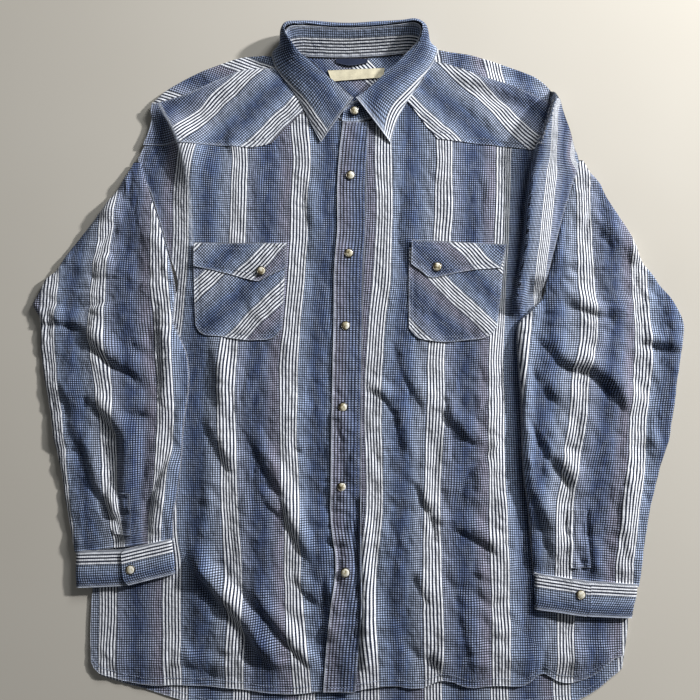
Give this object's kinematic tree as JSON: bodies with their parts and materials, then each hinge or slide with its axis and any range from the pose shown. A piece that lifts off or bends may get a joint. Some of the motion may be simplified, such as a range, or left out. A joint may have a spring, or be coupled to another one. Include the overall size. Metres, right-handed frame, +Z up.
{
  "type": "western snap shirt",
  "caption": "Long-sleeved striped western shirt laid flat, with pointed yokes, flap pockets and pearl snaps.",
  "frame": {"origin": "middle of the laid shirt's footprint, on the surface it lies on", "axes": "+X to the wearer's left, +Y from the hem to the collar, +Z up from the surface"},
  "size_m": [0.78, 0.8286, 0.0287],
  "materials": {
    "shirt_cloth": "matt cotton-blend plain weave, shaded blue, navy and lavender stripes with groups of fine white lines over a fine check",
    "bias_cloth": "the same striped cloth cut on the bias",
    "label": "cream woven label, bare",
    "loop": "dark navy stretch of the shirt's own cloth",
    "snap_rim": "thin rolled metal rim, silver grey",
    "snap_cap": "domed pearl cap, marbled cream and brown"
  },
  "bodies": {
    "root": {"back": "shirt_cloth", "back_yoke": "bias_cloth", "front_right": "shirt_cloth", "front_left": "shirt_cloth", "yoke_right": "bias_cloth", "yoke_left": "bias_cloth", "placket": "shirt_cloth", "pocket_right": "bias_cloth", "pocket_left": "bias_cloth", "flap_right": "bias_cloth", "flap_left": "bias_cloth", "neck_label": "label", "hanger_loop": "loop", "sleeve_right": "shirt_cloth", "sleeve_placket_right": "shirt_cloth", "sleeve_left": "shirt_cloth", "sleeve_placket_left": "shirt_cloth", "cuff_right": "shirt_cloth", "cuff_left": "shirt_cloth", "collar_stand": "shirt_cloth", "collar": "shirt_cloth", "snap_rim_1": "snap_rim", "snap_cap_1": "snap_cap", "snap_rim_2": "snap_rim", "snap_cap_2": "snap_cap", "snap_rim_3": "snap_rim", "snap_cap_3": "snap_cap", "snap_rim_4": "snap_rim", "snap_cap_4": "snap_cap", "snap_rim_5": "snap_rim", "snap_cap_5": "snap_cap", "snap_rim_6": "snap_rim", "snap_cap_6": "snap_cap", "snap_rim_flap_right": "snap_rim", "snap_cap_flap_right": "snap_cap", "snap_rim_flap_left": "snap_rim", "snap_cap_flap_left": "snap_cap", "snap_rim_cuff_right": "snap_rim", "snap_cap_cuff_right": "snap_cap", "snap_rim_cuff_left": "snap_rim", "snap_cap_cuff_left": "snap_cap", "snap_rim_stand": "snap_rim", "snap_cap_stand": "snap_cap"}
  },
  "joints": []
}
